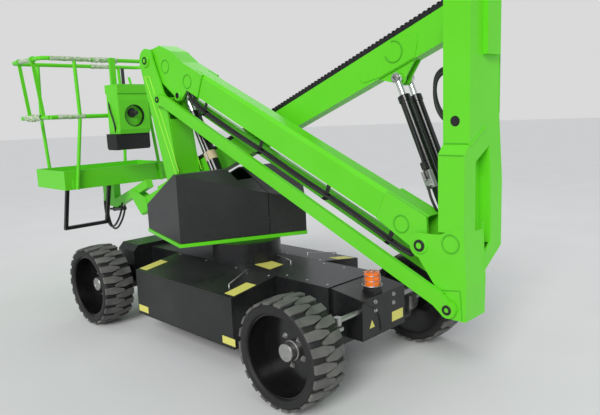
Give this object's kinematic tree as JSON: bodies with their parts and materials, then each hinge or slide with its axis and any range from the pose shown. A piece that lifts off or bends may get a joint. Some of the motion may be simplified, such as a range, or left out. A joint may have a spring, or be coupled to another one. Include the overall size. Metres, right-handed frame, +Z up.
{
  "type": "articulating boom lift",
  "caption": "Narrow self-propelled articulating boom lift: slewing turntable, lower boom with parallel links, upright post, telescoping upper boom and levelled work basket.",
  "frame": {"origin": "on the ground, at the middle of the overall length and width", "axes": "+X towards the basket, +Y to the machine's left, +Z up"},
  "size_m": [4.3598, 1.5, 2.2019],
  "materials": {
    "lime_green": "gloss paint, lightly dusty",
    "chassis_black": "satin paint",
    "deck_black": "satin paint, worn by boots",
    "hood_black": "moulded, fine grain",
    "black_plastic": "moulded",
    "tyre": "rubber with a dry bloom",
    "bare_steel": "zinc plated",
    "rod_chrome": "polished",
    "amber_lens": "translucent moulding"
  },
  "bodies": {
    "chassis": {"chassis_frame": "chassis_black", "centre_deck": "deck_black", "tray_cover_left": "deck_black", "battery_left": "black_plastic", "tray_cover_right": "deck_black", "battery_right": "black_plastic", "rear_cover": "deck_black", "beacon_base": "black_plastic", "beacon_lens": "amber_lens", "slew_base": "chassis_black", "front_axle": "chassis_black", "tie_down_left": "chassis_black", "tie_down_right": "chassis_black"},
    "turntable": {"turntable_base": "lime_green", "tower": "lime_green", "power_unit": "black_plastic"},
    "hood_left": {"hood_left": "hood_black"},
    "hood_right": {"hood_right": "hood_black"},
    "knuckle_left": {"knuckle_left": "bare_steel"},
    "knuckle_right": {"knuckle_right": "bare_steel"},
    "steering_rod": {"steering_rod": "bare_steel"},
    "lower_boom": {"lower_boom": "lime_green"},
    "links": {"link_left": "lime_green", "link_right": "lime_green"},
    "lift_barrel": {"lift_barrel": "chassis_black"},
    "lift_rod": {"lift_rod": "rod_chrome"},
    "post": {"post": "lime_green"},
    "upper_boom": {"upper_boom": "lime_green", "cable_chain": "black_plastic"},
    "upper_barrel": {"upper_barrel": "chassis_black"},
    "upper_rod": {"upper_rod": "rod_chrome"},
    "inner_boom": {"inner_boom": "lime_green"},
    "basket": {"basket_bracket": "lime_green", "basket_floor": "lime_green", "basket_rails": "lime_green", "control_bracket": "lime_green", "control_box": "black_plastic", "step_frame": "chassis_black"},
    "basket_gate": {"basket_gate": "lime_green"},
    "wheel_front_left": {"rim_front_left": "lime_green", "tyre_front_left": "tyre"},
    "wheel_front_right": {"rim_front_right": "lime_green", "tyre_front_right": "tyre"},
    "wheel_rear_left": {"rim_rear_left": "lime_green", "tyre_rear_left": "tyre"},
    "wheel_rear_right": {"rim_rear_right": "lime_green", "tyre_rear_right": "tyre"}
  },
  "joints": [
    {"name": "slew", "type": "hinge", "parent": "chassis", "child": "turntable", "pos_m": [-0.33694, 0, 0.7], "axis": [0, 0, 1], "range_deg": [-177, 177]},
    {"name": "hood_left_door", "type": "hinge", "parent": "turntable", "child": "hood_left", "pos_m": [0.48306, 0.282, 0.76], "axis": [0, 0, -1], "range_deg": [0, 100]},
    {"name": "hood_right_door", "type": "hinge", "parent": "turntable", "child": "hood_right", "pos_m": [0.48306, -0.322, 0.76], "axis": [0, 0, 1], "range_deg": [0, 100]},
    {"name": "lower_boom_lift", "type": "hinge", "parent": "turntable", "child": "lower_boom", "pos_m": [0.67306, 0, 2.049], "axis": [0, 1, 0], "range_deg": [0, 75]},
    {"name": "link_swing", "type": "hinge", "parent": "turntable", "child": "links", "pos_m": [0.49306, 0, 1.734], "axis": [0, 1, 0], "range_deg": [0, 75.5]},
    {"name": "lift_cylinder_swing", "type": "hinge", "parent": "turntable", "child": "lift_barrel", "pos_m": [-0.25194, 0, 0.79], "axis": [0, -1, 0], "range_deg": [0, 11.14]},
    {"name": "lift_cylinder_stroke", "type": "slide", "parent": "lift_barrel", "child": "lift_rod", "axis": [0.4916, 0, 0.8708], "range_m": [0, 0.539]},
    {"name": "post_level", "type": "hinge", "parent": "lower_boom", "child": "post", "pos_m": [-1.89893, 0, 0.86602], "axis": [0, -1, 0], "range_deg": [0, 75.5]},
    {"name": "upper_boom_lift", "type": "hinge", "parent": "post", "child": "upper_boom", "pos_m": [-2.08393, -0.2, 2.11202], "axis": [0, -1, 0], "range_deg": [0, 75]},
    {"name": "upper_cylinder_swing", "type": "hinge", "parent": "post", "child": "upper_barrel", "pos_m": [-1.95793, -0.2, 0.90202], "axis": [0, -1, 0], "range_deg": [0, 12.26]},
    {"name": "upper_cylinder_stroke", "type": "slide", "parent": "upper_barrel", "child": "upper_rod", "axis": [0.3926, 0, 0.9197], "range_m": [0, 0.699]},
    {"name": "telescope", "type": "slide", "parent": "upper_boom", "child": "inner_boom", "axis": [0.9311, 0, -0.3649], "range_m": [0, 1.1]},
    {"name": "basket_level", "type": "hinge", "parent": "inner_boom", "child": "basket", "pos_m": [1.53393, -0.2, 0.88538], "axis": [0, 1, 0], "range_deg": [0, 75.5]},
    {"name": "basket_gate_swing", "type": "hinge", "parent": "basket", "child": "basket_gate", "pos_m": [1.53393, 0.596, 2.13238], "axis": [-1, 0, 0], "range_deg": [0, 85]},
    {"name": "steer_left", "type": "hinge", "parent": "chassis", "child": "knuckle_left", "pos_m": [-1.40544, 0.4, 0.31], "axis": [0, 0, 1], "range_deg": [-35, 35]},
    {"name": "steer_right", "type": "hinge", "parent": "chassis", "child": "knuckle_right", "pos_m": [-1.40544, -0.4, 0.31], "axis": [0, 0, 1], "range_deg": [-35.5, 35.5]},
    {"name": "steering_rod_slide", "type": "slide", "parent": "chassis", "child": "steering_rod", "axis": [0, -1, 0], "range_m": [-0.083, 0.083]},
    {"name": "wheel_front_left_spin", "type": "hinge", "parent": "chassis", "child": "wheel_front_left", "pos_m": [0.73156, 0.63, 0.31], "axis": [0, 1, 0], "continuous": true},
    {"name": "wheel_front_right_spin", "type": "hinge", "parent": "chassis", "child": "wheel_front_right", "pos_m": [0.73156, -0.63, 0.31], "axis": [0, 1, 0], "continuous": true},
    {"name": "wheel_rear_left_spin", "type": "hinge", "parent": "knuckle_left", "child": "wheel_rear_left", "pos_m": [-1.40544, 0.63, 0.31], "axis": [0, 1, 0], "continuous": true},
    {"name": "wheel_rear_right_spin", "type": "hinge", "parent": "knuckle_right", "child": "wheel_rear_right", "pos_m": [-1.40544, -0.63, 0.31], "axis": [0, 1, 0], "continuous": true}
  ],
  "couplings": [
    {"joint": "link_swing", "follows": "lower_boom_lift", "ratio": 1},
    {"joint": "post_level", "follows": "lower_boom_lift", "ratio": 1},
    {"joint": "lift_cylinder_swing", "follows": "lower_boom_lift", "ratio": 0.13522},
    {"joint": "lift_cylinder_stroke", "follows": "lower_boom_lift", "m_per_rad": 0.40788},
    {"joint": "upper_cylinder_swing", "follows": "upper_boom_lift", "ratio": 0.15008},
    {"joint": "upper_cylinder_stroke", "follows": "upper_boom_lift", "m_per_rad": 0.52992},
    {"joint": "basket_level", "follows": "upper_boom_lift", "ratio": 1},
    {"joint": "steer_right", "follows": "steer_left", "ratio": 1},
    {"joint": "steering_rod_slide", "follows": "steer_left", "m_per_rad": 0.12676}
  ]
}
